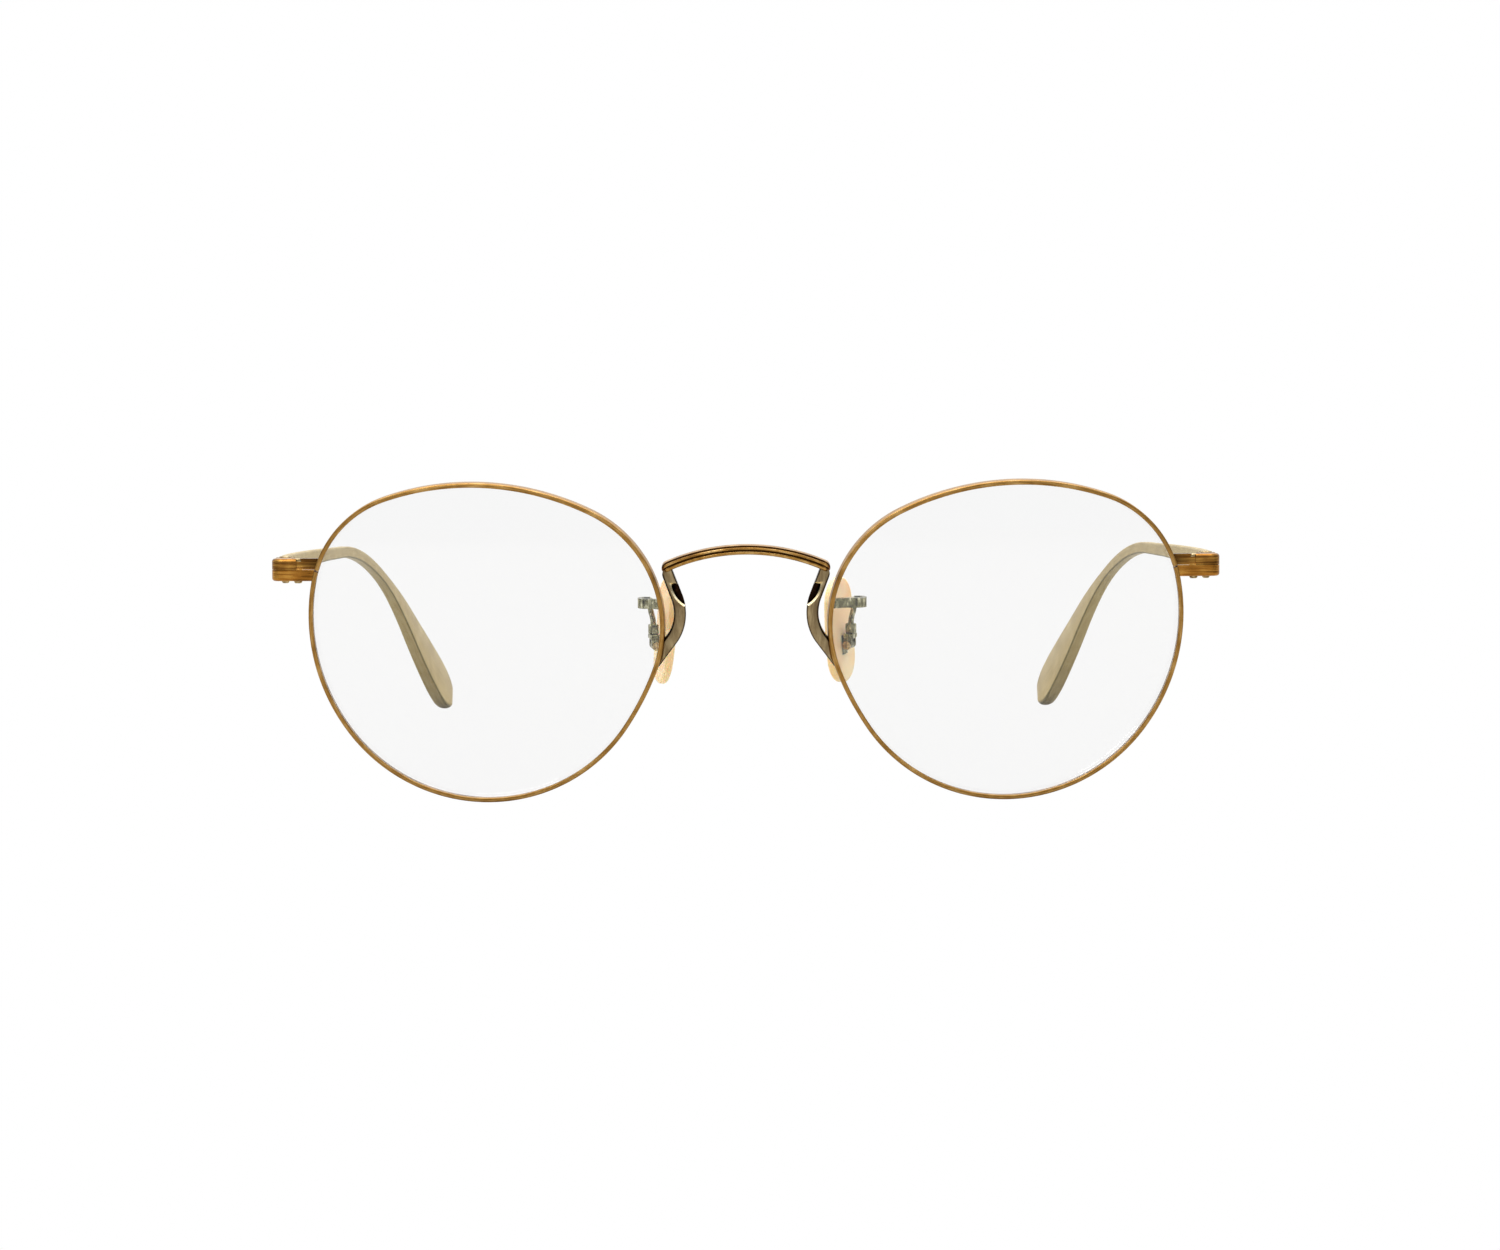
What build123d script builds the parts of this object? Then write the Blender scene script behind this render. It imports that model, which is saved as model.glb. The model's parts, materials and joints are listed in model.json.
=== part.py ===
from build123d import *
from math import cos, radians, sin, sqrt
import os

# Round metal spectacle frame with a closing block, adjustable nose pads and folding temples.
# Millimetres. The front faces -Y, +Z is up and the wearer's left side is +X. The left side is
# drawn, then mirrored. The frame is drawn with its front upright and tilted at the end, until it
# stands on the bottoms of the rims and on the temple tips.

# ---- Driving dimensions ----
# Lens and rim
lens_centre_x = 34.8  # half the distance between the lens centres
lens_centre_y = 2.4
wrap_angle = 5.0  # each lens turns back towards its temple
base_sphere = 120.0  # radius of the lens's middle surface
lens_reach = 22.5  # mean distance from the lens centre to the rim
rim_width = 0.6  # wire, measured outwards from the lens
rim_depth = 1.8  # wire, front to back
rim_round = 0.12
groove_depth = 0.26
groove_width = 0.72
lens_thickness = 1.2
lens_play = 0.02
slit_width = 0.12

# Outline of the middle of the rim wire: radius and turn of each arc, from the bottom, past the
# nose, and round. The last two radii follow from the outline closing on itself.
outline_start = (-5.07, -20.87)
outline_heading = 167.2
outline_arcs = ((22.45, 43.4), (38.13, 13.1), (16.86, 84.8), (35.49, 45.7), (14.75, 59.0))
outline_last_turns = (48.7, 65.3)

# Bridge
arch_radius = 23.0
arch_top_z = 12.75  # centreline
arch_height = 1.2
arch_depth = 1.7
arch_front_y = -2.6
arch_half_width = 11.2
arch_sweep_back = 2.3  # how far the ends stand behind the middle
shoulder_round = 0.7
flute_width = 0.26
flute_depth = 0.28
flute_heights = (-0.05, 0.5)  # above the arch's centreline
flute_half_length = 10.3
leg_bend_x = 14.75
leg_bend_z = 4.0
leg_bend_radius = 6.0  # centreline
leg_width = 1.6
leg_upper_angle = 21.0
leg_lower_angle = 35.5
leg_upper_length = 4.1
leg_lower_length = 6.4
leg_step = 0.35  # the legs' front lies this far behind the arch's
pocket_x = 6.43
pocket_top_z = 7.9
pocket_rise = 0.35
pocket_radius = 3.44
pocket_depth = 0.8

# Closing block and hinge, on axes that lean with the temple
lean_angle = 7.4  # the temples slope down towards the ears
hinge_x = 61.8
hinge_y = 10.5
hinge_z = 8.55
block_height = 3.0
block_gap = 0.07
block_arm = 2.0
block_round = 0.4
block_outer_x = 1.32
block_front_y = -6.3
block_rear_y = -1.6
closing_x = -2.2
closing_y = -5.15
closing_shaft = 0.55
closing_head = 0.85
knuckle_radius = 1.25
knuckle_height = 1.04
knuckle_play = 0.03
hinge_shaft = 0.5
hinge_hole = 0.54
hinge_head = 0.85

# Temple
temple_start_y = 1.65
temple_offset_x = 0.75
temple_thickness = 1.2
paddle_thickness = 2.2
temple_round = 0.28
temple_front_height = 2.9
temple_ear_height = 1.7
temple_bend_y = 76.4
temple_bend_radius = 68.5
temple_bend_angle = 34.7
temple_tip_y = 136.0
temple_tip_x = -13.5
temple_bow = 6.4
paddle_height = 6.8

# Nose pad and its mount, on axes turned with the pad
pad_flares = {"left": 24.0, "right": 13.5}  # the arms are bent differently to fit the wearer
pad_leans = {"left": 3.5, "right": 5.5}  # the pads rock, and rest with their feet apart
pad_screw_xs = {"left": 13.85, "right": 12.25}
pad_screw_y = 7.0
pad_screw_z = -1.5
pad_size = (1.35, 7.4, 14.2)
pad_back_x = -0.75
pad_lift = 1.95
pad_dome = 70.0
pad_screw_shaft = 0.35
pad_hole = 0.38
pad_screw_head = 0.58
cheek_radius = 0.6
cheek_inner_y = 0.42
cheek_thickness = 0.4
strap_z = 4.9
strap_height = 1.3
strap_thickness = 0.55
strap_turn = 0.75
strap_reach_x = 1.15  # past the pad screw
stem_radius = 0.38

# Standing
standing_tilt = 6.04


def place_lens(shape):
    return Pos(lens_centre_x, lens_centre_y, 0) * Rot(0, 0, wrap_angle) * shape


def lens_outline(grow):
    """Outline of the rim wire's middle, grown evenly, drawn clockwise from the bottom."""

    def inward(angle):
        return Vector(sin(radians(angle)), -cos(radians(angle)))

    turns = [turn for radius, turn in outline_arcs] + list(outline_last_turns)
    angles = [outline_heading]
    for turn in turns:
        angles.append(angles[-1] - turn)
    steps = [inward(a) - inward(b) for a, b in zip(angles, angles[1:])]
    left_open = Vector(0, 0)
    for (radius, turn), step in zip(outline_arcs, steps):
        left_open += step * radius
    p, q = steps[-2], steps[-1]
    span = p.X * q.Y - p.Y * q.X
    radii = [radius for radius, turn in outline_arcs]
    radii.append((left_open.Y * q.X - left_open.X * q.Y) / span)
    radii.append((left_open.X * p.Y - left_open.Y * p.X) / span)

    at = Vector(*outline_start)
    edges = []
    for radius, a, b in zip(radii, angles, angles[1:]):
        centre = at + inward(a) * radius
        size = radius + grow
        ends = [centre - inward(angle) * size for angle in (a, (a + b) / 2, b)]
        edges.append(ThreePointArc(*ends))
        at = centre - inward(b) * radius
    return Plane.XZ * make_face(edges)


def lens_column(grow):
    return extrude(lens_outline(grow), 6, both=True)


def lens_shell(outer, inner):
    centre_y = sqrt(base_sphere**2 - lens_reach**2)
    return Pos(0, centre_y, 0) * (Sphere(base_sphere + outer) - Sphere(base_sphere + inner))


def leaning(shape):
    return Pos(hinge_x, hinge_y, hinge_z) * Rot(-lean_angle, 0, 0) * shape


# ---- Rim: grooved wire bent to the lens outline, open where the closing block pulls it shut ----
wire_half = rim_width / 2
ring = lens_column(wire_half) - lens_column(-wire_half)
rim = ring & lens_shell(rim_depth / 2, -rim_depth / 2)
rim = fillet(rim.edges(), rim_round)
groove = lens_column(groove_depth - wire_half)
rim -= groove & lens_shell(groove_width / 2, -groove_width / 2)
rim = place_lens(rim)
rim -= leaning(Pos(-4, -6, 0) * Box(4, 8, slit_width))

# ---- Lens: curved plate with a tongue round its edge that sits in the rim's groove ----
plate = lens_column(-wire_half - lens_play)
plate &= lens_shell(lens_thickness / 2, -lens_thickness / 2)
tongue_half = groove_width / 2 - lens_play
tongue = lens_column(groove_depth - wire_half - lens_play)
tongue &= lens_shell(tongue_half, -tongue_half)
lens = place_lens(plate + tongue)

# ---- Closing block: two halves brazed to the rim ends, meeting at a fine split line ----
arm_line = Polyline(
    (-6.0, block_front_y - 0.35),
    (block_outer_x, block_front_y + 0.35),
    (block_outer_x, block_rear_y),
    (block_outer_x - 2.7, block_rear_y),
    (block_outer_x - 2.7, block_front_y + block_arm + 0.25),
    (-6.0, block_front_y + block_arm),
    close=True,
)
block_plan = make_face(arm_line)
outer_corner = block_plan.vertices().sort_by_distance((block_outer_x, block_front_y + 0.35, 0))[0]
inner_corner = block_plan.vertices().sort_by_distance((block_outer_x - 2.7, block_front_y + 2.25, 0))[0]
block_plan = fillet(outer_corner, 1.5)
block_plan = fillet(block_plan.vertices().sort_by_distance(inner_corner)[0], 0.5)
half_height = (block_height - block_gap) / 2
half_block = extrude(block_plan, half_height)
outside = half_block.edges().filter_by_position(Axis.Z, half_height, half_height)
outside = outside.filter_by(lambda edge: edge.center().X > -5.9)
half_block = fillet(outside, block_round)
half_block -= Pos(closing_x, closing_y, 0) * Cylinder(closing_shaft + 0.02, 8)
rim_column = place_lens(lens_column(wire_half))

upper_half = Pos(0, 0, block_gap / 2) * half_block
head_seat = Pos(closing_x, closing_y, block_height / 2) * Cylinder(closing_head + 0.05, 0.8)
upper_half -= head_seat
scoop_axis = Pos(-4.2, block_front_y - 1.45, block_height / 4)
upper_half -= scoop_axis * Rot(0, 90, 0) * Cylinder(1.9, 4.4)
end_piece_upper = leaning(upper_half) - rim_column

lower_half = Pos(0, 0, -block_gap / 2) * mirror(half_block, about=Plane.XY)
end_piece_lower = leaning(lower_half) - rim_column

# ---- Closing screw: countersunk from above, its end just proud underneath ----
shaft_length = block_height - 0.4 + 0.3
closing_screw = Cylinder(closing_shaft, shaft_length)
closing_screw = Pos(0, 0, -block_height / 2 - 0.3 + shaft_length / 2) * closing_screw
closing_screw = chamfer(closing_screw.edges().sort_by(Axis.Z)[0], 0.15)
screw_head = Pos(0, 0, block_height / 2 - 0.2) * Cylinder(closing_head, 0.4)
closing_screw += fillet(screw_head.edges().sort_by(Axis.Z)[-1], 0.12)
closing_screw -= Pos(0, 0, block_height / 2) * Box(3, 0.26, 0.3)
closing_screw = leaning(Pos(closing_x, closing_y, 0) * closing_screw)

# ---- Hinge: two knuckles on the front, one on the temple, one screw down the middle ----
side_gap = knuckle_height / 2 + knuckle_play
knuckles = Cylinder(knuckle_radius, block_height)
knuckles += Pos(-0.2, block_rear_y / 2, 0) * Box(1.9, -block_rear_y, block_height)
knuckles -= Pos(0, 0.1, 0) * Box(4, 3, 2 * side_gap)
knuckles -= Cylinder(hinge_hole, 8)
knuckles -= Pos(0, 0, block_height / 2) * Cylinder(hinge_head + 0.04, 0.7)
hinge_front_leaf = leaning(knuckles)

temple_knuckle = Cylinder(knuckle_radius, knuckle_height)
temple_knuckle += Pos(0.1, temple_start_y / 2, 0) * Box(1.8, temple_start_y + 0.4, knuckle_height)
temple_knuckle += Pos(-0.35, temple_start_y + 2.2, 0) * Box(0.8, 4.4, 2.4)
temple_knuckle -= Cylinder(hinge_hole, 8)

hinge_length = block_height - 0.35 + 0.45
hinge_screw = Pos(0, 0, -block_height / 2 - 0.45 + hinge_length / 2) * Cylinder(hinge_shaft, hinge_length)
hinge_screw = chamfer(hinge_screw.edges().sort_by(Axis.Z)[0], 0.15)
hinge_cap = Pos(0, 0, block_height / 2 - 0.1) * Cylinder(hinge_head, 0.5)
hinge_screw += fillet(hinge_cap.edges().sort_by(Axis.Z)[-1], 0.15)
hinge_screw -= Pos(0, 0, block_height / 2 + 0.15) * Box(3, 0.26, 0.36)
hinge_screw = leaning(hinge_screw)

# ---- Temple: slim side arm, drawn from the side and cut to its bowed plan ----
bend_centre = Vector(temple_bend_y, -temple_bend_radius)
turn = radians(temple_bend_angle)


def on_bend(angle, height):
    """A point above the bend's centreline, where the temple has turned down by angle."""
    out = Vector(sin(radians(angle)), cos(radians(angle)))
    return bend_centre + out * (temple_bend_radius + height)


bend_end = on_bend(temple_bend_angle, 0)
down_line = Vector(cos(turn), -sin(turn))
across = Vector(sin(turn), cos(turn))
tip = bend_end + down_line * ((temple_tip_y - bend_end.X) / cos(turn))
widest = tip - down_line * (0.45 * paddle_height)
ear_half = temple_ear_height / 2
front_half = temple_front_height / 2
paddle_half = paddle_height / 2
thin_angle = 20
thin_heading = Vector(cos(radians(thin_angle)), -sin(radians(thin_angle)))
profile = [
    Line((temple_start_y, -front_half), (temple_start_y, front_half)),
    Line((temple_start_y, front_half), (temple_bend_y, ear_half)),
    ThreePointArc(on_bend(0, ear_half), on_bend(thin_angle / 2, ear_half), on_bend(thin_angle, ear_half)),
    Spline(
        on_bend(thin_angle, ear_half),
        widest + across * paddle_half,
        tangents=(thin_heading, down_line),
    ),
    ThreePointArc(widest + across * paddle_half, tip, widest - across * paddle_half),
    Spline(
        widest - across * paddle_half,
        on_bend(thin_angle, -ear_half),
        tangents=(-down_line, -thin_heading),
    ),
    ThreePointArc(on_bend(thin_angle, -ear_half), on_bend(thin_angle / 2, -ear_half), on_bend(0, -ear_half)),
    Line((temple_bend_y, -ear_half), (temple_start_y, -front_half)),
]
side_view = extrude(Plane.YZ * make_face(profile), 30, both=True)
plan_start = Vector(temple_offset_x, temple_start_y)
plan_end = Vector(temple_tip_x, temple_tip_y + 3)
plan_middle = (plan_start + plan_end) / 2 + Vector(temple_bow, 0)
plan_points = (plan_start, plan_middle, plan_end)
plan_halves = (temple_thickness / 2, temple_thickness / 2, paddle_thickness / 2)
outer_points = [point + Vector(half, 0) for point, half in zip(plan_points, plan_halves)]
inner_points = [point - Vector(half, 0) for point, half in zip(plan_points, plan_halves)]
plan = [
    ThreePointArc(*outer_points),
    Line(outer_points[2], inner_points[2]),
    ThreePointArc(*inner_points),
    Line(inner_points[0], outer_points[0]),
]
stem = side_view & extrude(make_face(plan), 45, both=True)
stem = fillet(stem.edges(), temple_round)
temple = leaning(stem)
hinge_temple_leaf = leaning(temple_knuckle - stem)

# ---- Bridge: reeded arch and two legs, pressed from one flat wire that bows forward ----
arch_centre_z = arch_top_z - arch_radius
sweep_radius = (arch_half_width**2 + arch_sweep_back**2) / (2 * arch_sweep_back)


def arch_ring(outer, inner, half_width):
    ring = Circle(arch_radius + outer) - Circle(arch_radius + inner)
    return Pos(0, arch_centre_z) * ring & Pos(0, arch_top_z) * Rectangle(2 * half_width, 10)


def bowed_wall(front, depth):
    """Upright curved wall whose front face stands front behind the arch's own front."""
    centre = Pos(0, arch_front_y + sweep_radius, 0)
    radius = sweep_radius - front
    return centre * (Cylinder(radius, 60) - Cylinder(radius - depth, 60))


def through(face):
    return extrude(Plane.XZ * face, 10, both=True)


def both_legs(face):
    return face + mirror(face, about=Plane.YZ)


arch_face = arch_ring(arch_height / 2, -arch_height / 2, arch_half_width)
shoulders = arch_face.vertices().group_by(Axis.X)
for end in (shoulders[0], shoulders[-1]):
    arch_face = fillet(arch_face.vertices().sort_by_distance(end.sort_by(Axis.Y)[-1])[0], shoulder_round)
leg_bend = Circle(leg_bend_radius + leg_width / 2) - Circle(leg_bend_radius - leg_width / 2)
bend_ends = [radians(180 - leg_upper_angle), radians(180), radians(180 + leg_lower_angle)]
wedge = [(0, 0)] + [(20 * cos(a), 20 * sin(a)) for a in bend_ends]
leg_face = leg_bend & make_face(Polyline(*wedge, close=True))
upper_leg = Pos(-leg_bend_radius, leg_upper_length / 2) * Rectangle(leg_width, leg_upper_length)
lower_leg = Pos(-leg_bend_radius, -leg_lower_length / 2) * Rectangle(leg_width, leg_lower_length)
leg_face += Rot(0, 0, -leg_upper_angle) * upper_leg
leg_face += Rot(0, 0, leg_lower_angle) * lower_leg
legs = both_legs(Pos(leg_bend_x, leg_bend_z) * leg_face)
bridge = through(arch_face + legs) & bowed_wall(0, arch_depth)
bridge -= (through(legs) - through(arch_face)) & bowed_wall(-1, 1 + leg_step)
for height in flute_heights:
    flute = arch_ring(height + flute_width / 2, height - flute_width / 2, flute_half_length)
    bridge -= through(flute) & bowed_wall(-1, 1 + flute_depth)
pocket = Pos(pocket_x, pocket_top_z + pocket_rise) * Circle(pocket_radius)
pocket &= Pos(pocket_x, pocket_top_z - 5) * Rectangle(10, 10)
bridge -= through(both_legs(pocket)) & bowed_wall(-1, 1 + leg_step + pocket_depth)
bridge -= rim_column + mirror(rim_column, about=Plane.YZ)

# ---- Nose pad and its mount, drawn about the pad screw ----
pad_thick, pad_wide, pad_tall = pad_size
pad_face = Plane.YZ * RectangleRounded(pad_wide, pad_tall, pad_wide * 0.47)
nose_pad = extrude(pad_face, pad_thick / 2, both=True)
nose_pad &= Pos(pad_dome - pad_thick / 2, 0, 0) * Sphere(pad_dome)
nose_pad = fillet(nose_pad.edges(), 0.35)
nose_pad = Pos(pad_back_x - pad_thick / 2, 0, pad_lift) * nose_pad

lug = Pos(pad_back_x - 0.2, 0, 0) * Box(0.5, 1.6, 2.6)
ear_half_width = cheek_inner_y - knuckle_play
lug_ear = Rot(90, 0, 0) * Cylinder(0.58, 2 * ear_half_width)
lug_ear += Pos(pad_back_x / 2, 0, 0) * Box(-pad_back_x, 2 * ear_half_width, 0.9)
pad_insert = lug + lug_ear
pad_insert -= Rot(90, 0, 0) * Cylinder(pad_hole, 4)
nose_pad -= lug

cheek_outer_y = cheek_inner_y + cheek_thickness
cheek = Rot(90, 0, 0) * Cylinder(cheek_radius, cheek_thickness)
cheek += Pos(0.05, 0, 0.5) * Box(1.1, cheek_thickness, 1.0)
cheek_y = cheek_inner_y + cheek_thickness / 2
collar = fillet(Box(1.35, 2 * cheek_outer_y + 0.1, 0.65).edges(), 0.15)
pad_box = Pos(0, cheek_y, 0) * cheek + Pos(0, -cheek_y, 0) * cheek + Pos(0.1, 0, 1.2) * collar
pad_box -= Rot(90, 0, 0) * Cylinder(pad_hole, 4)

screw_length = 2 * cheek_outer_y + 0.1
pad_screw = Pos(0, 0.05, 0) * Rot(90, 0, 0) * Cylinder(pad_screw_shaft, screw_length)
head_y = -(cheek_outer_y + 0.15)
pad_screw += Pos(0, head_y, 0) * Rot(90, 0, 0) * Cylinder(pad_screw_head, 0.3)
pad_screw -= Pos(0, head_y - 0.15, 0) * Box(0.2, 0.26, 2)

strap_foot = Vector(11.3, 1.45, strap_z)
foot_lead = Vector(0.3, 1, 0)
strap_start = Plane(strap_foot, x_dir=(-foot_lead.Y, foot_lead.X, 0), z_dir=foot_lead)


def pad_place(side):
    return Pos(pad_screw_xs[side], pad_screw_y, pad_screw_z) * Rot(0, 0, -pad_flares[side])


def pad_arm(side):
    """Flat strap from the rim, turned back on itself, with a round stem down to the pad box."""
    reach = Vector(pad_screw_xs[side] + strap_reach_x, 2.5, strap_z)
    back = reach + Vector(0, 2 * strap_turn, 0)
    end = back - Vector(0.6, 0, 0)
    path = Spline(strap_foot, reach, tangents=(foot_lead, (1, 0, 0)))
    path += ThreePointArc(reach, reach + Vector(strap_turn, strap_turn, 0), back)
    path += Line(back, end)
    arm = sweep(strap_start * Rectangle(strap_thickness, strap_height), path=path)
    stem_end = (pad_place(side) * Pos(0.2, 0, 2.6)).position
    stem_line = Spline(end, stem_end, tangents=((0, 0.2, -1), (0, 0.3, -1)))
    arm += sweep(Plane(end, z_dir=(0, 0.2, -1)) * Circle(stem_radius), path=stem_line)
    arm += Pos(*end) * Sphere(0.58)
    arm += pad_place(side) * Pos(0.2, 0, 2.2) * fillet(Box(1.3, 1.0, 1.35).edges(), 0.2)
    return arm - rim


# ---- Both sides, tilted until the frame stands on its own, over the origin ----
one_side = {
    "rim": rim,
    "lens": lens,
    "end_piece_upper": end_piece_upper,
    "end_piece_lower": end_piece_lower,
    "closing_screw": closing_screw,
    "hinge_front_leaf": hinge_front_leaf,
    "hinge_screw": hinge_screw,
    "hinge_temple_leaf": hinge_temple_leaf,
    "temple": temple,
}
pad_pieces = {
    "pad_box": pad_box,
    "pad_screw": pad_screw,
}
rocking_pieces = {
    "pad_insert": pad_insert,
    "nose_pad": nose_pad,
}
nodes = {"bridge": bridge}
for side in ("left", "right"):
    pieces = dict(one_side, pad_arm=pad_arm(side))
    for name, shape in pad_pieces.items():
        pieces[name] = pad_place(side) * shape
    for name, shape in rocking_pieces.items():
        pieces[name] = pad_place(side) * Rot(0, -pad_leans[side], 0) * shape
    for name, shape in pieces.items():
        nodes[f"{name}_{side}"] = shape if side == "left" else mirror(shape, about=Plane.YZ)

tilt = Rot(standing_tilt, 0, 0)
stood = Compound([tilt * shape for shape in nodes.values()]).bounding_box()
stand = Pos(0, -stood.center().Y, -stood.min.Z) * tilt

os.makedirs("parts", exist_ok=True)
for name, shape in nodes.items():
    export_step(stand * shape, f"parts/{name}.step")
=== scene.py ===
import json
from math import asin, cos, pi, radians, sin, sqrt

import bmesh
import bpy
from mathutils import Matrix, Vector


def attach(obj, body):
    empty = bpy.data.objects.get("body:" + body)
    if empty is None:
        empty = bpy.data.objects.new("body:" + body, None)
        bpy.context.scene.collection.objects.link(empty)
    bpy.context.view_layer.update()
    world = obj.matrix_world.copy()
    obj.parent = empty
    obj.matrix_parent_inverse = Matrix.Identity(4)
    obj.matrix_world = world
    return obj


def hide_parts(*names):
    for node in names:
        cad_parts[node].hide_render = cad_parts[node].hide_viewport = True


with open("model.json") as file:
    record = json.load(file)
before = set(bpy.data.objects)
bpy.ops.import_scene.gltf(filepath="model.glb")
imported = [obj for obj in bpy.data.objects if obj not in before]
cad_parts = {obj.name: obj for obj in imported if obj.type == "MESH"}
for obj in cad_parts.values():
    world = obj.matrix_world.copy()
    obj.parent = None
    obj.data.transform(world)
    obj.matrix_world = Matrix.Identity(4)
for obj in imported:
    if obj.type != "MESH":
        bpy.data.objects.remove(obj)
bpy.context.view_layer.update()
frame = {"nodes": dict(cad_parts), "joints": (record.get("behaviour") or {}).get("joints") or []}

# ---- Camera ----
# A long portrait lens set square to the front of the frame and a little above it. The frame is
# drawn with its front upright and then leans onto its temple tips, so the camera leans with it.
millimetre = 0.001
temple_lean = 7.4
hinge_in_drawing = Vector((61.8, 10.5, 8.55))
hinge = next(joint for joint in frame["joints"] if joint["name"] == "temple_left_fold")
standing_tilt = radians(temple_lean) - asin(hinge["axis"][1])
tilt = Matrix.Rotation(standing_tilt, 4, "X")
shift = Vector(hinge["pos_m"]) - tilt @ (hinge_in_drawing * millimetre)
stand = Matrix.Translation(shift) @ tilt @ Matrix.Scale(millimetre, 4)

camera_at = Vector((-1.1, -569.6, 102.78))
camera_turn = -0.16
camera_dip = 10.0
camera_roll = -0.3
camera_data = bpy.data.cameras.new("camera")
camera_data.lens = 105
camera_data.sensor_width = 36
camera_data.clip_start = 0.01
camera = bpy.data.objects.new("camera", camera_data)
bpy.context.scene.collection.objects.link(camera)
camera.location = stand @ camera_at
aim = tilt.to_3x3() @ Matrix.Rotation(radians(camera_turn), 3, "Z")
aim @= Matrix.Rotation(radians(90 - camera_dip), 3, "X")
camera.rotation_euler = (aim @ Matrix.Rotation(radians(camera_roll), 3, "Z")).to_euler()
bpy.context.scene.camera = camera
bpy.context.scene.view_settings.view_transform = "Standard"

# ---- Floor and studio light ----
# A seamless table of frosted white acrylic, lit from below until it looks plain white and shows
# no shadow. White sheets hang behind and in front and a soft box above. The dark walls at the
# sides give every rounded edge something dark to mirror.
floor_reach = 3.0
floor_hex = "#B2B0AA"
white = (1, 1, 1, 1)
backdrop_strength = 1.0
wall_strength = 0.1
# Axis of the direction looked in, where the sheet begins and is full, and its strength.
overhead_sheet = ("Z", 0.2, 0.8, 1.3)
sheet_behind = ("Y", 0.1, 0.6, 0.85)
sheet_in_front = ("Y", -0.4, -0.9, 0.5)


def linear(hex_colour):
    """An sRGB hex colour as linear red, green, blue and alpha."""
    parts = [int(hex_colour[i : i + 2], 16) / 255 for i in (1, 3, 5)]
    return (*[c / 12.92 if c <= 0.04045 else ((c + 0.055) / 1.055) ** 2.4 for c in parts], 1)


def add(tree, kind, inputs=None, **settings):
    """Adds a node with its settings; an input given as a socket is linked, others are set."""
    node = tree.nodes.new(kind)
    for name, value in settings.items():
        setattr(node, name, value)
    for name, value in (inputs or {}).items():
        if isinstance(value, bpy.types.NodeSocket):
            tree.links.new(value, node.inputs[name])
        else:
            node.inputs[name].default_value = value
    return node


def new_material(name):
    material = bpy.data.materials.new(name)
    material.use_nodes = True
    material.node_tree.nodes.clear()
    return material, material.node_tree


def looked_at(tree):
    """1 for what is looked at, through a lens too, and 0 for what only lights the frame."""
    ray = add(tree, "ShaderNodeLightPath")
    seen = {0: ray.outputs["Is Camera Ray"], 1: ray.outputs["Is Transmission Ray"]}
    return add(tree, "ShaderNodeMath", seen, operation="MAXIMUM").outputs[0]


table, tree = new_material("frosted_white_acrylic_lit_from_below")
acrylic = add(tree, "ShaderNodeBsdfDiffuse", {"Color": linear(floor_hex)})
lit = add(tree, "ShaderNodeEmission", {"Color": white, "Strength": backdrop_strength})
faces = {0: looked_at(tree), 1: acrylic.outputs[0], 2: lit.outputs[0]}
table_top = add(tree, "ShaderNodeMixShader", faces)
add(tree, "ShaderNodeOutputMaterial", {"Surface": table_top.outputs[0]})
floor_mesh = bpy.data.meshes.new("floor")
turns = ((-1, -1), (1, -1), (1, 1), (-1, 1))
floor_corners = [(x * floor_reach, y * floor_reach, 0) for x, y in turns]
floor_mesh.from_pydata(floor_corners, [], [(0, 1, 2, 3)])
floor_mesh.materials.append(table)
floor = bpy.data.objects.new("floor", floor_mesh)
bpy.context.scene.collection.objects.link(floor)

room = bpy.data.worlds.new("room")
bpy.context.scene.world = room
room.use_nodes = True
tree = room.node_tree
tree.nodes.clear()
direction = add(tree, "ShaderNodeTexCoord")
towards = add(tree, "ShaderNodeSeparateXYZ", {"Vector": direction.outputs["Generated"]})
glow = wall_strength
for axis, begins, ends, strength in (overhead_sheet, sheet_behind, sheet_in_front):
    light = add(
        tree,
        "ShaderNodeMapRange",
        {"Value": towards.outputs[axis], "From Min": begins, "From Max": ends, "To Max": strength},
        interpolation_type="SMOOTHSTEP",
    )
    both = {0: glow, 1: light.outputs["Result"]}
    glow = add(tree, "ShaderNodeMath", both, operation="ADD").outputs[0]
walls = add(tree, "ShaderNodeBackground", {"Color": white, "Strength": glow})
backdrop = add(tree, "ShaderNodeBackground", {"Color": white, "Strength": backdrop_strength})
shown = add(
    tree,
    "ShaderNodeMixShader",
    {0: looked_at(tree), 1: walls.outputs["Background"], 2: backdrop.outputs["Background"]},
)
add(tree, "ShaderNodeOutputWorld", {"Surface": shown.outputs[0]})


def soft_box(name, at, towards, size, power):
    """A rectangular lamp in metres and watts, turned towards a point."""
    data = bpy.data.lights.new(name, "AREA")
    data.shape = "RECTANGLE"
    data.size, data.size_y = size
    data.energy = power
    box = bpy.data.objects.new(name, data)
    bpy.context.scene.collection.objects.link(box)
    box.location = at
    box.rotation_euler = (Vector(towards) - Vector(at)).to_track_quat("-Z", "Y").to_euler()


middle = (0, 0, 0.02)
soft_box("overhead_box", at=(0, -0.1, 0.9), towards=middle, size=(0.9, 0.6), power=7.0)
soft_box("front_box", at=(-0.35, -0.75, 0.55), towards=middle, size=(0.35, 0.35), power=2.0)

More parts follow.
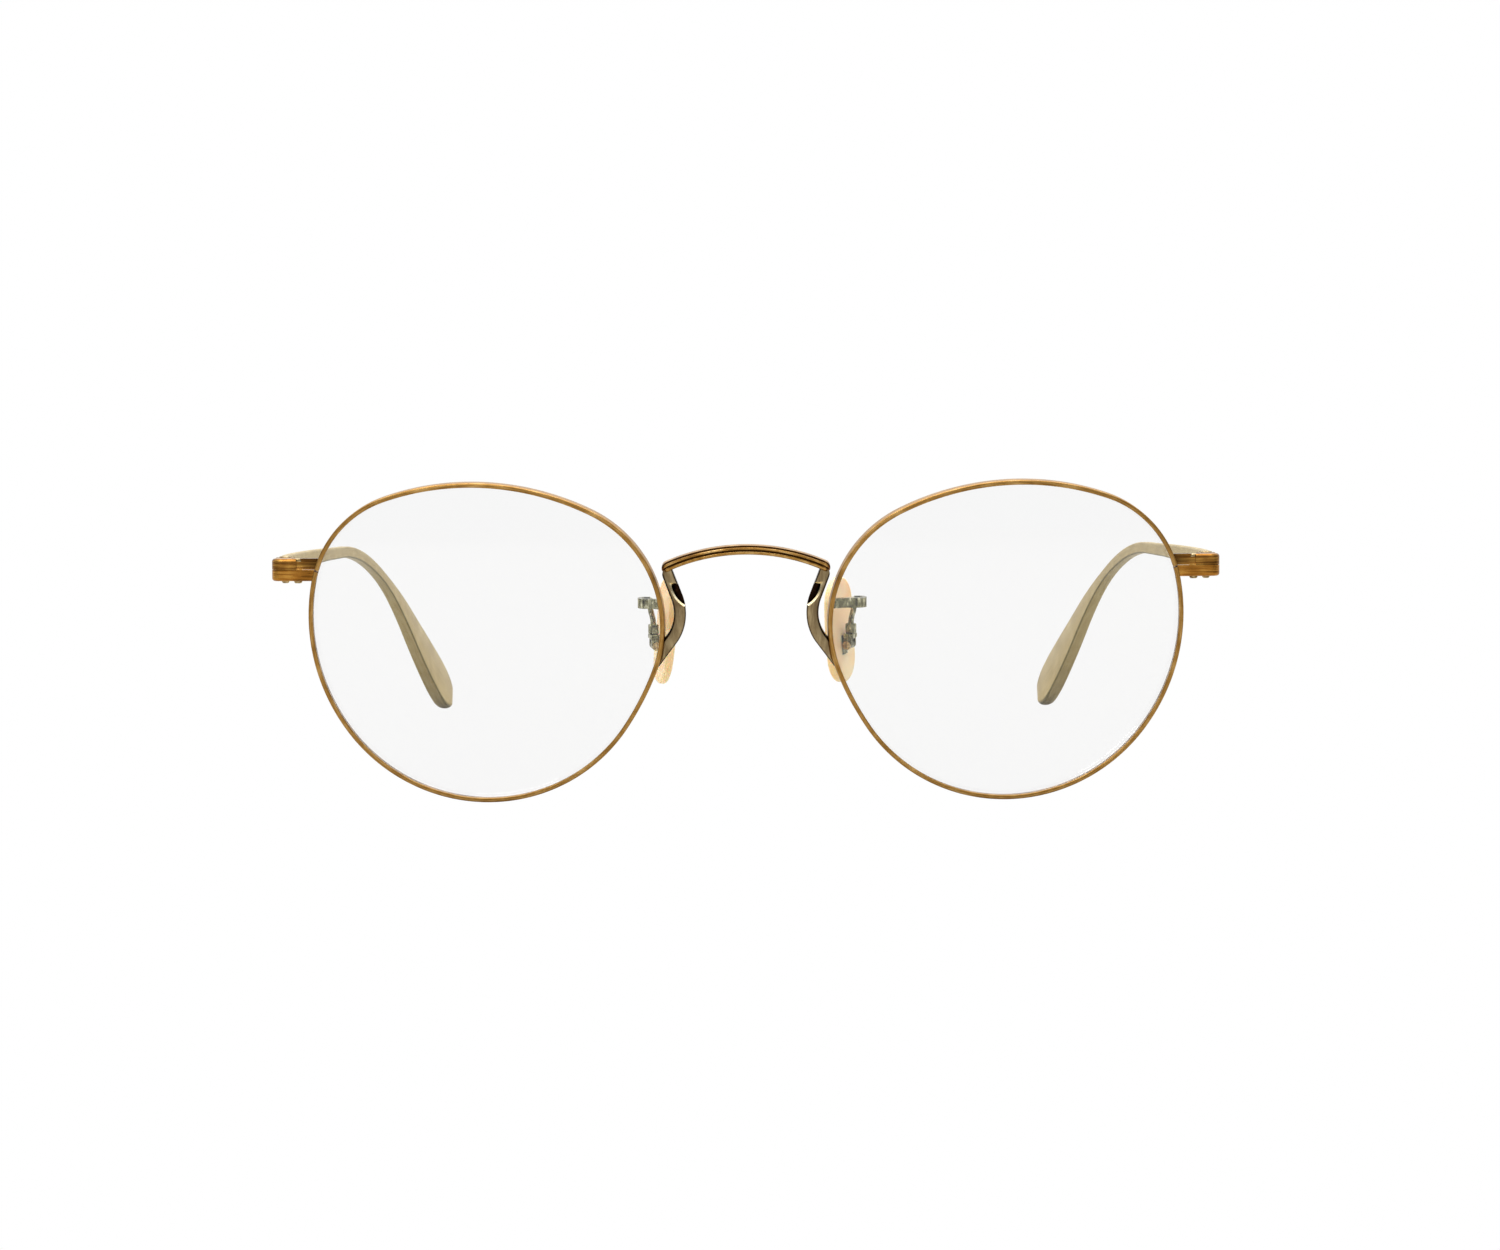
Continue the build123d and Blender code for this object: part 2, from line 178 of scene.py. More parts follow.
# ---- Rims ----
# Titanium wire, drawn to a flat section with a groove down its inner face for the lens, bent
# to the lens outline and left open inside the closing block. Antique gold plate, brushed along
# the wire, so it shows warm streaks with darker and paler clouds.
lens_centre = (34.8, 2.4)
wrap_angle = 5.0
base_sphere = 120.0
lens_reach = 22.5
wire_width = 0.6
wire_depth = 1.8
wire_round = 0.12
groove_edge_round = 0.03
groove_depth = 0.26
groove_width = 0.72
outline_start = (-5.07, -20.87)
outline_heading = 167.2
outline_arcs = ((22.45, 43.4), (38.13, 13.1), (16.86, 84.8), (35.49, 45.7), (14.75, 59.0))
outline_last_turns = (48.7, 65.3)
slit_height = 9.05
outline_step = 1.0


def rounded(corners, radius, steps=3):
    """Closed outline through the corners, each rounded by the radius given for it."""
    points = []
    for i, (corner, r) in enumerate(zip(corners, radius)):
        here = Vector(corner)
        before = (Vector(corners[i - 1]) - here).normalized()
        after = (Vector(corners[(i + 1) % len(corners)]) - here).normalized()
        half = before.angle(after) / 2
        centre = here + (before + after).normalized() * (r / sin(half))
        first = here + before * (r / (sin(half) / cos(half))) - centre
        turn = (pi - 2 * half) * (1 if before.x * after.y < before.y * after.x else -1)
        for step in range(steps + 1):
            points.append(centre + Matrix.Rotation(turn * step / steps, 2) @ first)
    return points


def lens_outline():
    """The wire's middle line round one lens, clockwise from the slit, seen from the front."""

    def inward(angle):
        return Vector((sin(radians(angle)), -cos(radians(angle))))

    turns = [turn for radius, turn in outline_arcs] + list(outline_last_turns)
    angles = [outline_heading]
    for turn in turns:
        angles.append(angles[-1] - turn)
    steps = [inward(a) - inward(b) for a, b in zip(angles, angles[1:])]
    gap = sum((s * r for (r, turn), s in zip(outline_arcs, steps)), Vector((0, 0)))
    p, q = steps[-2:]
    span = p.x * q.y - p.y * q.x
    radii = [radius for radius, turn in outline_arcs]
    radii.append((gap.y * q.x - gap.x * q.y) / span)
    radii.append((gap.x * p.y - gap.y * p.x) / span)
    at = Vector(outline_start)
    points = []
    for radius, a, b in zip(radii, angles, angles[1:]):
        centre = at + inward(a) * radius
        count = round((a - b) / outline_step)
        points += [centre - inward(a + (b - a) * i / count) * radius for i in range(count)]
        at = centre - inward(b) * radius
    slit = min(range(len(points)), key=lambda i: abs(points[i].y - slit_height) - points[i].x)
    return points[slit:] + points[:slit]


def curve_object(name, points, closed):
    data = bpy.data.curves.new(name, "CURVE")
    data.dimensions = "3D"
    spline = data.splines.new("POLY")
    spline.points.add(len(points) - 1)
    for point, co in zip(spline.points, points):
        point.co = (*co, 1) if len(co) == 3 else (*co, 0, 1)
    spline.use_cyclic_u = closed
    thing = bpy.data.objects.new(name, data)
    bpy.context.scene.collection.objects.link(thing)
    return thing


def wire_tree():
    """Sweeps a section along a path and stores the distance along and round it as 'wire'."""
    tree = bpy.data.node_groups.new("bent_wire", "GeometryNodeTree")
    for name, kind in (("Path", "Geometry"), ("Section", "Object"), ("Finish", "Material")):
        tree.interface.new_socket(name, in_out="INPUT", socket_type="NodeSocket" + kind)
    tree.interface.new_socket("Wire", in_out="OUTPUT", socket_type="NodeSocketGeometry")
    given = add(tree, "NodeGroupInput")
    along = add(tree, "GeometryNodeSplineParameter")
    upright = add(tree, "GeometryNodeSetCurveNormal", {"Curve": given.outputs["Path"]}, mode="Z_UP")
    path = add(tree, "GeometryNodeCaptureAttribute", {"Geometry": upright.outputs[0]})
    path.capture_items.new("FLOAT", "along")
    tree.links.new(along.outputs["Length"], path.inputs[1])
    shape = add(tree, "GeometryNodeObjectInfo", {"Object": given.outputs["Section"]})
    section = add(tree, "GeometryNodeCaptureAttribute", {"Geometry": shape.outputs["Geometry"]})
    section.capture_items.new("FLOAT", "round")
    tree.links.new(along.outputs["Length"], section.inputs[1])
    swept = add(
        tree,
        "GeometryNodeCurveToMesh",
        {"Curve": path.outputs[0], "Profile Curve": section.outputs[0], "Fill Caps": True},
    )
    place = add(tree, "ShaderNodeCombineXYZ", {"X": path.outputs[1], "Y": section.outputs[1]})
    marked = add(
        tree,
        "GeometryNodeStoreNamedAttribute",
        {"Geometry": swept.outputs[0], "Name": "wire", "Value": place.outputs[0]},
        data_type="FLOAT_VECTOR",
        domain="POINT",
    )
    real = add(tree, "GeometryNodeRealizeInstances", {"Geometry": marked.outputs[0]})
    finished = add(
        tree,
        "GeometryNodeSetMaterial",
        {"Geometry": real.outputs[0], "Material": given.outputs["Finish"]},
    )
    add(tree, "NodeGroupOutput", {"Wire": finished.outputs[0]})
    return tree


bent_wire = wire_tree()


def sweep_wire(name, path, section, finish):
    """A plain mesh made by bending the section along the path, both in millimetres."""
    carrier = curve_object(name + "_path", path, False)
    profile = curve_object(name + "_section", section, True)
    sweep = carrier.modifiers.new("bent_wire", "NODES")
    sweep.node_group = bent_wire
    sockets = {s.name: s.identifier for s in bent_wire.interface.items_tree if s.in_out == "INPUT"}
    sweep[sockets["Section"]] = profile
    sweep[sockets["Finish"]] = finish
    bpy.context.view_layer.update()
    graph = bpy.context.evaluated_depsgraph_get()
    mesh = bpy.data.meshes.new_from_object(carrier.evaluated_get(graph))
    bpy.data.objects.remove(carrier)
    bpy.data.objects.remove(profile)
    return mesh


crease_angle = 32.0


def finish_piece(name, mesh, place, body, node):
    """Puts a mesh drawn in millimetres in its place, outward faces out, as a piece on a body."""
    mesh.transform(stand @ place)
    shell = bmesh.new()
    shell.from_mesh(mesh)
    bmesh.ops.recalc_face_normals(shell, faces=shell.faces)
    shell.to_mesh(mesh)
    shell.free()
    mesh.shade_smooth()
    mesh.set_sharp_from_angle(angle=radians(crease_angle))
    mesh.name = name
    piece = bpy.data.objects.new(name, mesh)
    bpy.context.scene.collection.objects.link(piece)
    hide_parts(node)
    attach(piece, body)


# How much of the tone is streaks rather than clouds, the noise values where the dark and the
# light tone are full, the depth of a scratch in millimetres and how dark the painted shade in
# a scoop is.
streak_share = 0.7
darkest_at = 0.34
lightest_at = 0.66
scratch_depth = 0.02
scoop_shade = 0.72


def plated_metal(
    name, tones, brush, cloud, roughness, source="Object", relief=0.25, patina_and_painted_shade=None, scoop=None
):
    """Brushed plate. tones: dark, middle and light hex. brush: length of a streak along X, Y and
    Z in millimetres. cloud: size of the darker and lighter patches in millimetres. roughness:
    lowest and highest. patina and painted shade: hex that marked points go to, real patina in
    the arch's grooves and painted shade on the legs' edges and the temples' undersides. scoop:
    distances in millimetres from the middle of the frame between which a painted shade goes
    from dark to none."""
    material, tree = new_material(name)
    if source == "Object":
        start = add(tree, "ShaderNodeTexCoord").outputs["Object"]
        unit = 1 / millimetre
    else:
        start = add(tree, "ShaderNodeAttribute", attribute_name=source).outputs["Vector"]
        unit = 1
    drawn = add(
        tree,
        "ShaderNodeMapping",
        {"Vector": start, "Scale": [unit / length for length in brush]},
        vector_type="POINT",
    )
    streaks = add(
        tree,
        "ShaderNodeTexNoise",
        {"Vector": drawn.outputs[0], "Scale": 1.0, "Detail": 4.0, "Roughness": 0.6},
    )
    patches = {"Vector": start, "Scale": unit / cloud, "Detail": 2.0}
    clouds = add(tree, "ShaderNodeTexNoise", patches)
    tone = add(
        tree,
        "ShaderNodeMix",
        {0: streak_share, 2: clouds.outputs["Fac"], 3: streaks.outputs["Fac"]},
        data_type="FLOAT",
    )
    ramp = add(tree, "ShaderNodeValToRGB", {"Fac": tone.outputs[0]})
    ramp.color_ramp.elements[0].position = darkest_at
    ramp.color_ramp.elements[0].color = linear(tones[0])
    ramp.color_ramp.elements[1].position = lightest_at
    ramp.color_ramp.elements[1].color = linear(tones[2])
    ramp.color_ramp.elements.new(0.5).color = linear(tones[1])
    colour = ramp.outputs["Color"]
    # Marked points go towards the given hex: real patina in the arch's grooves, painted shade on
    # the legs' edges and the temples' undersides.
    if patina_and_painted_shade:
        left = add(tree, "ShaderNodeAttribute", attribute_name="patina_and_painted_shade").outputs["Fac"]
        colour = add(
            tree,
            "ShaderNodeMix",
            {0: left, 6: colour, 7: linear(patina_and_painted_shade)},
            data_type="RGBA",
        ).outputs[2]
    # Painted shade: the plate is darkened towards its darkest tone between the two distances given.
    if scoop:
        sideways = add(tree, "ShaderNodeSeparateXYZ", {0: start}).outputs["X"]
        out = add(tree, "ShaderNodeMath", {0: sideways}, operation="ABSOLUTE").outputs[0]
        shade = add(
            tree,
            "ShaderNodeMapRange",
            {
                "Value": out,
                "From Min": scoop[0] * millimetre,
                "From Max": scoop[1] * millimetre,
                "To Min": scoop_shade,
                "To Max": 0.0,
            },
        )
        colour = add(
            tree,
            "ShaderNodeMix",
            {0: shade.outputs["Result"], 6: colour, 7: linear(tones[0])},
            data_type="RGBA",
        ).outputs[2]
    rough = add(
        tree,
        "ShaderNodeMapRange",
        {
            "Value": streaks.outputs["Fac"],
            "From Min": 0.3,
            "From Max": 0.7,
            "To Min": roughness[0],
            "To Max": roughness[1],
        },
    )
    scratches = add(
        tree,
        "ShaderNodeBump",
        {
            "Height": streaks.outputs["Fac"],
            "Strength": relief,
            "Distance": scratch_depth * millimetre,
        },
    )
    metal = add(
        tree,
        "ShaderNodeBsdfPrincipled",
        {
            "Base Color": colour,
            "Metallic": 1.0,
            "Roughness": rough.outputs["Result"],
            "Normal": scratches.outputs["Normal"],
        },
    )
    add(tree, "ShaderNodeOutputMaterial", {"Surface": metal.outputs["BSDF"]})
    return material


# Streaks 4 mm long and 0.2 mm wide: real brushing is ten times finer, too fine to be seen.
rim_plate = plated_metal(
    "antique_gold_plate_brushed_along_wire",
    ("#7C5828", "#A27A40", "#C29E64"),
    (4.0, 0.2, 1.0),
    1.6,
    (0.3, 0.45),
    source="wire",
)
half, deep = wire_width / 2, wire_depth / 2
slope = lens_reach / base_sphere
groove = groove_width / 2
rim_corners = [
    (-half, -deep),
    (half, -deep),
    (half, -groove),
    (half - groove_depth, -groove),
    (half - groove_depth, groove),
    (half, groove),
    (half, deep),
    (-half, deep),
]
rim_corners = [(inwards, back - slope * inwards) for inwards, back in rim_corners]
rim_radii = [wire_round] * 2 + [groove_edge_round] * 4 + [wire_round] * 2
sphere_centre = sqrt(base_sphere**2 - lens_reach**2)
outline = lens_outline()
rim_path = [(p.x, p.y, sqrt(base_sphere**2 - p.length_squared) - sphere_centre) for p in outline]
facing_front = Matrix.Rotation(radians(90), 4, "X")
wrap = Matrix.Rotation(radians(wrap_angle), 4, "Z")
lens_place = Matrix.Translation((*lens_centre, 0)) @ wrap @ facing_front
mirrored = Matrix.Scale(-1, 4, (1, 0, 0))
sides = (("left", Matrix.Identity(4)), ("right", mirrored))
for side, flip in sides:
    section = rounded(rim_corners, rim_radii)
    mesh = sweep_wire("rim_wire_" + side, rim_path, section, rim_plate)
    finish_piece("rim_wire_" + side, mesh, flip @ lens_place, "front", "rim_" + side)

# ---- Lenses ----
# Clear acrylic demonstration lenses, moulded to a shallow curve and edged to snap into the rims.
# Polished all over, with only the faintest unevenness where they were buffed.
buffed_patch = 16.7
clear, tree = new_material("polished_clear_acrylic")
start = add(tree, "ShaderNodeTexCoord").outputs["Object"]
unevenness = {"Vector": start, "Scale": 1 / (buffed_patch * millimetre)}
buffing = add(tree, "ShaderNodeTexNoise", unevenness)
haze = add(
    tree,
    "ShaderNodeMapRange",
    {"Value": buffing.outputs["Fac"], "To Min": 0.0, "To Max": 0.02},
)
glass = add(
    tree,
    "ShaderNodeBsdfPrincipled",
    {
        "Base Color": linear("#F8F8F8"),
        "Roughness": haze.outputs["Result"],
        "IOR": 1.49,
        "Transmission Weight": 1.0,
    },
)
open_air = add(tree, "ShaderNodeBsdfTransparent", {"Color": linear("#F4F4F4")})
lamp_ray = add(tree, "ShaderNodeLightPath")
pane = add(
    tree,
    "ShaderNodeMixShader",
    {0: lamp_ray.outputs["Is Shadow Ray"], 1: glass.outputs["BSDF"], 2: open_air.outputs["BSDF"]},
)
add(tree, "ShaderNodeOutputMaterial", {"Surface": pane.outputs[0]})


def give_finish(material, *nodes):
    """Paints carried-over CAD pieces, left and right."""
    for node in nodes:
        for side in ("left", "right"):
            mesh = frame["nodes"][f"{node}_{side}"].data
            mesh.materials.clear()
            mesh.materials.append(material)


give_finish(clear, "lens")

# ---- Bridge ----
# One flat wire, pressed into a low arch with two lengthwise grooves and bowed forward, its ends
# turned back and down into two polished legs that are brazed to the rims. The arch keeps its
# brushed antique gold, with dark patina left in the grooves, and each leg has a milled pocket.
arch_radius = 23.0
arch_top_z = 12.75
arch_half_height = 0.6
arch_depth = 1.7
arch_front_y = -2.6
arch_half_width = 11.2
arch_sweep_back = 2.3
shoulder_start = 10.35
groove_depth_front = 0.26
groove_centres = (-0.05, 0.47)
groove_half = 0.14
groove_edge_depth = 0.02
groove_lip_round = 0.07
groove_bed_round = 0.03
arch_back_round = 0.15
arch_lower_round = 0.2
arch_upper_round = 0.05
grooves_run_out = (10.15, 10.5)
front_zone = 0.3
arch_end_limit = 0.985
arch_end_drop = 0.25
arch_end_back = 0.8
arch_steps = 80
leg_bend_at = Vector((14.75, 4.0))
leg_bend_radius = 6.0
leg_half_width = 0.8
leg_upper_angle = 21.0
leg_lower_angle = 35.5
leg_upper_length = 4.1
leg_lower_length = 6.4
leg_upper_steps = 12
leg_bend_steps = 36
leg_lower_steps = 18
leg_step = 0.35
leg_top_round = 0.9
leg_top_steps = 3
leg_front_round = 0.3
leg_back_round = 0.15
# The painted shade along each edge of a leg: its fade, from the edge inwards, and its strength.
rim_side_shade = (0.42, 0.12)
nose_side_shade = (0.24, 0.06)
edge_shade_strength = 0.95
pocket_centre = Vector((6.43, 8.25))
pocket_radius = 3.44
pocket_top_z = 7.9
pocket_depth = 0.85
pocket_chamfer = 0.24
pocket_steps = 24
cutter_rise = 0.2
cutter_half_depth = 6
cut_within_wire = 0.5
sweep_radius = (arch_half_width**2 + arch_sweep_back**2) / (2 * arch_sweep_back)


def loft(name, rings, finish, patina_and_painted_shade=None):
    """A closed mesh through rings of points. It stores the distance along and round as 'wire',
    and how dark each line of points is made: real patina in the arch's grooves, painted shade on
    the temples' undersides."""
    count = len(rings[0])
    vertices = [point for ring in rings for point in ring]
    faces = []
    for i in range(len(rings) - 1):
        for j in range(count):
            k = (j + 1) % count
            faces.append((i * count + j, i * count + k, (i + 1) * count + k, (i + 1) * count + j))
    for start, ring in ((0, rings[0]), ((len(rings) - 1) * count, rings[-1])):
        vertices.append(sum(ring, Vector((0, 0, 0))) / count)
        hub = len(vertices) - 1
        faces += [(start + j, start + (j + 1) % count, hub) for j in range(count)]
    mesh = bpy.data.meshes.new(name)
    mesh.from_pydata(vertices, [], faces)
    mesh.materials.append(finish)
    along = [0.0]
    for before, after in zip(rings, rings[1:]):
        along.append(along[-1] + (after[0] - before[0]).length)
    middle = rings[len(rings) // 2]
    round_it = [0.0]
    for before, after in zip(middle, middle[1:]):
        round_it.append(round_it[-1] + (after - before).length)
    mesh.attributes.new("wire", "FLOAT_VECTOR", "POINT")
    mesh.attributes.new("patina_and_painted_shade", "FLOAT", "POINT")
    wire, dark = mesh.attributes["wire"], mesh.attributes["patina_and_painted_shade"]
    for i, length in enumerate(along):
        for j, across in enumerate(round_it):
            wire.data[i * count + j].vector = (length, across, 0)
            dark.data[i * count + j].value = patina_and_painted_shade[j] if patina_and_painted_shade else 0.0
    wire.data[len(rings) * count].vector = (0, 0, 0)
    wire.data[len(rings) * count + 1].vector = (along[-1], 0, 0)
    return mesh


def pressed(x, z, behind):
    """A point of the bridge, set back along the bow of the arch's front."""
    bow = sweep_radius - sqrt(sweep_radius**2 - x**2)
    return Vector((x, arch_front_y + bow + behind, z))


def smooth_step(value, low, high):
    """Eases from 0 to 1 as the value goes from low to high."""
    t = min(max((value - low) / (high - low), 0), 1)
    return t * t * (3 - 2 * t)


arch_corners = [(-arch_half_height, arch_depth), (-arch_half_height, 0)]
arch_radii = [arch_back_round, arch_lower_round]
for centre in groove_centres:
    arch_corners += [
        (centre - groove_half, 0),
        (centre - groove_half / 2, groove_depth_front),
        (centre + groove_half / 2, groove_depth_front),
        (centre + groove_half, 0),
    ]
    arch_radii += [groove_lip_round, groove_bed_round, groove_bed_round, groove_lip_round]
arch_corners[-1] = (arch_half_height, groove_depth_front + groove_edge_depth)
arch_corners.append((arch_half_height, arch_depth))
arch_radii[-1] = arch_upper_round
arch_radii.append(arch_back_round)
arch_section = rounded(arch_corners, arch_radii, steps=4)
arch_patina = []
for r, w in arch_section:
    arch_patina.append(min(max(w / groove_depth_front, 0), 1) if w < front_zone else 0.0)
arch_rings = []
arch_reach = asin(arch_half_width / arch_radius)
for i in range(-arch_steps, arch_steps + 1):
    angle = arch_reach * i / arch_steps
    x = arch_radius * sin(angle)
    fade = 1 - smooth_step(abs(x), *grooves_run_out)
    shoulder = (abs(x) - shoulder_start) / (arch_half_width - shoulder_start)
    end = min(max(shoulder, 0), arch_end_limit)
    squeeze = sqrt(1 - end * end)
    ring = []
    for r, w in arch_section:
        shallow = w * fade if w < front_zone else w
        reach = arch_radius + r * squeeze - arch_end_drop * end * end
        behind = shallow + (1 - shallow / arch_depth) * arch_end_back * end * end
        height = arch_top_z - arch_radius + reach * cos(angle)
        ring.append(pressed(reach * sin(angle), height, behind))
    arch_rings.append(ring)
# Streaks 3 mm long and 0.2 mm wide, along the arch, drawn coarse enough to be seen.
arch_plate = plated_metal(
    "antique_gold_plate_brushed_along_arch",
    ("#6A4A22", "#A67B3C", "#D2B27A"),
    (3.0, 0.2, 1.0),
    1.2,
    (0.28, 0.42),
    source="wire",
    patina_and_painted_shade="#3A2208",
)
mesh = loft("bridge_arch", arch_rings, arch_plate, arch_patina)
finish_piece("bridge_arch", mesh, Matrix.Identity(4), "front", "bridge")

# The bright cut chamfer round each pocket is painted a near-white cream: a painted highlight on its
# lip.
pocket_bevel = plated_metal(
    "bright_cut_gold_bevel_with_painted_highlight",
    ("#D8C294", "#EBD9AE", "#F8EDCB"),
    (0.5, 0.5, 0.5),
    1.0,
    (0.2, 0.3),
    relief=0.05,
)
# The walls and floor of each milled pocket are painted near black: painted shade in the recess.
pocket_shade = plated_metal(
    "painted_shade_in_milled_pocket",
    ("#140B05", "#1E110A", "#2E1C10"),
    (0.5, 0.5, 0.5),
    1.0,
    (0.3, 0.4),
    relief=0.05,
)
# The near-black brown that the legs go to along their edges is a painted shade.
leg_plate = plated_metal(
    "polished_brown_gold_plate",
    ("#6E5C42", "#8E7C5E", "#AC9A78"),
    (0.5, 0.5, 3.0),
    2.0,
    (0.1, 0.2),
    relief=0.08,
    patina_and_painted_shade="#24160A",
)


def leg_line():
    """Middle of a leg from the top down: place in the front view and direction across."""
    points = []
    upper, lower = radians(leg_upper_angle), radians(leg_lower_angle)
    for i in range(leg_upper_steps + 1):
        points.append((upper, leg_upper_length * (1 - i / leg_upper_steps)))
    for i in range(1, leg_bend_steps + 1):
        points.append((upper - (upper + lower) * i / leg_bend_steps, 0))
    for i in range(1, leg_lower_steps + 1):
        points.append((-lower, -leg_lower_length * i / leg_lower_steps))
    line = []
    for lean, past in points:
        out = Vector((-cos(lean), sin(lean)))
        at = leg_bend_at + out * leg_bend_radius + Vector((sin(lean), cos(lean))) * past
        line.append((at, out))
    return line


def pocket_ring(grow, behind):
    """Outline of the round pocket cut off flat at its top, grown and set back."""
    radius = pocket_radius + grow
    top = pocket_top_z + grow - pocket_centre.y
    first = asin(top / radius)
    ring = [pocket_centre + Vector((0, top))]
    for i in range(pocket_steps + 1):
        a = first + (-pi / 2 - first) * i / pocket_steps
        ring.append(pocket_centre + Vector((cos(a), sin(a))) * radius)
    return [pressed(p.x, p.y, behind) for p in ring]


def paint_edge_shade(mesh, line):
    """Stores a painted shade at each point of a leg, most along its two edges."""
    stain = mesh.attributes.get("patina_and_painted_shade") or mesh.attributes.new("patina_and_painted_shade", "FLOAT", "POINT")
    for vertex, value in zip(mesh.vertices, stain.data):
        spot = Vector((vertex.co.x, vertex.co.z))
        at, out = min(line, key=lambda station: (station[0] - spot).length)
        across = (spot - at).dot(out)
        rim_side = smooth_step(-across, *[leg_half_width - w for w in rim_side_shade])
        nose_side = smooth_step(across, *[leg_half_width - w for w in nose_side_shade])
        value.value = edge_shade_strength * max(rim_side, nose_side)


def cut_away(mesh, cutter):
    """The mesh less the cutter, both plain meshes."""
    stock = bpy.data.objects.new("stock", mesh)
    tool = bpy.data.objects.new("tool", cutter)
    for thing in (stock, tool):
        bpy.context.scene.collection.objects.link(thing)
        shell = bmesh.new()
        shell.from_mesh(thing.data)
        bmesh.ops.recalc_face_normals(shell, faces=shell.faces)
        shell.to_mesh(thing.data)
        shell.free()
    cut = stock.modifiers.new("cut", "BOOLEAN")
    cut.operation = "DIFFERENCE"
    cut.solver = "EXACT"
    cut.object = tool
    cut.use_self = True
    cut.material_mode = "TRANSFER"
    bpy.context.view_layer.update()
    graph = bpy.context.evaluated_depsgraph_get()
    result = bpy.data.meshes.new_from_object(stock.evaluated_get(graph))
    bpy.data.objects.remove(stock)
    bpy.data.objects.remove(tool)
    return result


leg_corners = [
    (-leg_half_width, leg_step),
    (leg_half_width, leg_step),
    (leg_half_width, arch_depth),
    (-leg_half_width, arch_depth),
]
leg_section = rounded(leg_corners, [leg_front_round] * 2 + [leg_back_round] * 2, steps=6)
around = zip(outline[-1:] + outline[:-1], outline, outline[1:] + outline[:1])
wire_edge = []
for before, here, after in around:
    heading = (after - before).normalized()
    wire_edge.append(here + Vector((-heading.y, heading.x)) * half * cut_within_wire)
for side, flip in sides:
    column = []
    for depth in (-cutter_half_depth, cutter_half_depth):
        column.append([lens_place @ Vector((*p, depth)) for p in wire_edge])
    lens_column = loft("lens_column", column, leg_plate)
    rings = []
    for i, (at, out) in enumerate(leg_line()):
        corner = min(i, leg_top_steps) / leg_top_steps
        trim = leg_top_round * (1 - sqrt(1 - (1 - corner) ** 2))
        points = [at + out * max(across, trim - leg_half_width) for across, behind in leg_section]
        rings.append([pressed(p.x, p.y, w) for p, (across, w) in zip(points, leg_section)])
    pocket = loft(
        "pocket",
        [
            pocket_ring(pocket_chamfer, -cutter_rise),
            pocket_ring(pocket_chamfer, leg_step),
            pocket_ring(0, leg_step + pocket_chamfer),
            pocket_ring(0, leg_step + pocket_depth),
        ],
        pocket_bevel,
    )
    pocket.materials.append(pocket_shade)
    for face in pocket.polygons:
        face.material_index = int(face.index >= 2 * len(pocket_ring(0, 0)))
    mesh = cut_away(cut_away(loft("leg", rings, leg_plate), pocket), lens_column)
    paint_edge_shade(mesh, leg_line())
    finish_piece("bridge_leg_" + side, mesh, flip, "front", "bridge")

# ---- Closing blocks ----
# Each rim ends in two small blocks of titanium, brazed on and filed to one shape, which a
# screw from above draws together round the lens. Filed and brushed crosswise, so the antique
# gold is streaked. The upper block is given darker tones than the lower, and a painted shade
# where it is scooped out beside the rim.
# Streaks 7 mm long and 0.13 mm high, drawn coarse enough to be seen.
upper_plate = plated_metal(
    "antique_gold_plate_filed_crosswise_with_painted_shade",
    ("#2C1A0A", "#8C5E28", "#D2A250"),
    (7.0, 3.0, 0.13),
    2.6,
    (0.2, 0.36),
    relief=0.4,
    scoop=(57.4, 60.2),
)
give_finish(upper_plate, "end_piece_upper")
lower_plate = plated_metal(
    "antique_gold_plate_filed_crosswise",
    ("#54340F", "#A8702C", "#DDAA54"),
    (7.0, 3.0, 0.13),
    2.6,
    (0.2, 0.36),
    relief=0.4,
)
give_finish(lower_plate, "end_piece_lower")
screw_plate = plated_metal(
    "turned_gold_flashed_steel",
    ("#6E5A38", "#A58E62", "#E0CFA6"),
    (0.8, 0.8, 0.15),
    0.5,
    (0.15, 0.25),
)
give_finish(screw_plate, "closing_screw")

# ---- Hinges ----
# Three stacked knuckles sawn from one bar, two brazed behind the closing block and one on the
# temple, with a slotted screw down the middle. Machined, then plated thinly.
hinge_plate = plated_metal(
    "machined_gold_plated_titanium",
    ("#5C4526", "#937343", "#C6A772"),
    (0.6, 0.6, 0.12),
    0.8,
    (0.25, 0.4),
)
give_finish(hinge_plate, "hinge_front_leaf", "hinge_temple_leaf")
give_finish(screw_plate, "hinge_screw")

# ---- Temples ----
# Slim side arms, swaged flat and drawn thin over the ear, then spread into a rounded paddle. The
# plate is a paler, greener gold than the front's, satin brushed along the arm.
temple_start_y = 1.65
temple_offset_x = 0.75
temple_half_thickness = 0.6
paddle_half_thickness = 1.1
temple_corner = 0.28
front_half_height = 1.45
ear_half_height = 0.85
paddle_half_height = 3.4
bend_y = 76.4
bend_radius = 68.5
bend_angle = radians(34.7)
spread_angle = radians(20)
tip_y = 136.0
tip_x = -13.5
temple_bow = 6.4
bow_past_tip = 3.0
paddle_round_length = 5.5
paddle_end_limit = 0.998
tip_round = 2.2
tip_narrowest = 0.15
tip_corner_growth = 0.75
tip_corner_length = 8.0
fullest_corner = 0.95
inner_bulge = 0.35
temple_steps = 150
tip_steps = 40
bend_start = bend_y - temple_start_y
bend_length = bend_radius * bend_angle
bend_drop = bend_radius * (1 - cos(bend_angle))
bend_out = Vector((bend_y + bend_radius * sin(bend_angle), -bend_drop))
down = Vector((cos(bend_angle), -sin(bend_angle)))
straight_length = (tip_y - bend_out.x) / down.x
temple_length = bend_start + bend_length + straight_length


